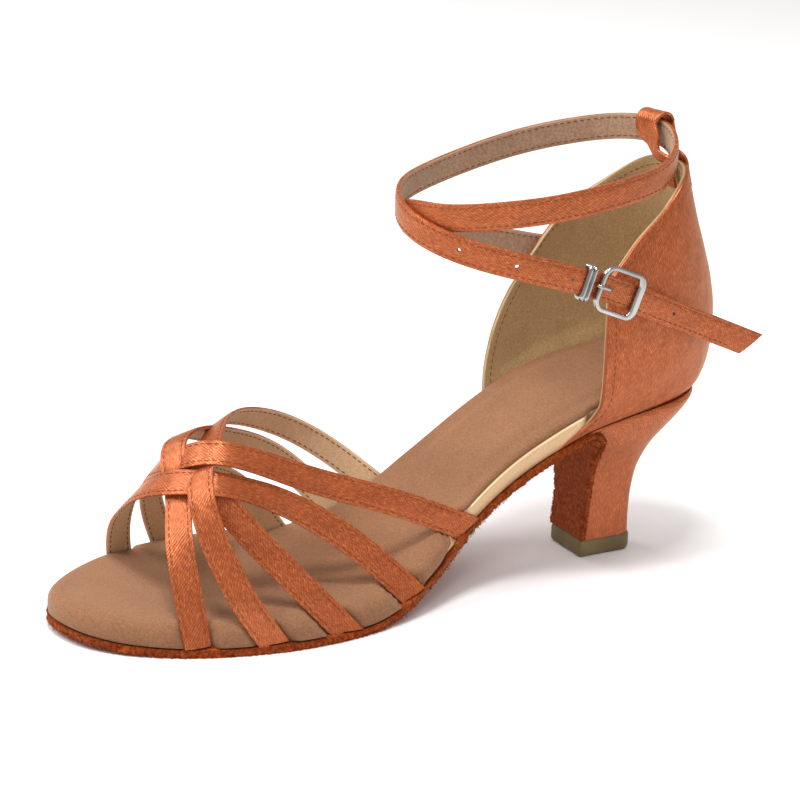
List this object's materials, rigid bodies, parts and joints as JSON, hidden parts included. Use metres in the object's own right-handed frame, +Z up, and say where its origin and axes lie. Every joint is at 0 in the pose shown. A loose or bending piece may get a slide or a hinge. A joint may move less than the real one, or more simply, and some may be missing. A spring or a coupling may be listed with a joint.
{
  "type": "ballroom dance sandal",
  "caption": "Open-toe dance sandal with woven satin vamp straps, a closed heel cup, a flared heel and a buckled strap wrapped twice round the ankle.",
  "frame": {"origin": "centre of the heel tip's ground face", "axes": "+X towards the wearer's left, the lateral side with the buckle; -Y towards the toe; +Z up from the floor"},
  "size_m": [0.079, 0.2283, 0.1445],
  "materials": {
    "satin": "tan-copper polyester satin, fine diagonal twill",
    "sole_suede": "rust chrome suede, brushed nap",
    "sock_microsuede": "brown microfibre suede over foam",
    "gold_board_wrap": "champagne coated wrap",
    "heel_tip_plastic": "olive-brown moulded plastic",
    "polished_metal": "polished silver plating"
  },
  "bodies": {
    "root": {"heel_tip": "heel_tip_plastic", "heel_block": "satin", "outsole": "sole_suede", "insole_board": "gold_board_wrap", "footbed": "sock_microsuede", "vamp_straps": "satin", "counter": "satin", "back_loop": "satin", "ankle_strap": "satin", "strap_keeper": "polished_metal", "buckle_frame": "polished_metal", "buckle_prong": "polished_metal", "buckle_tab": "satin"}
  },
  "joints": []
}
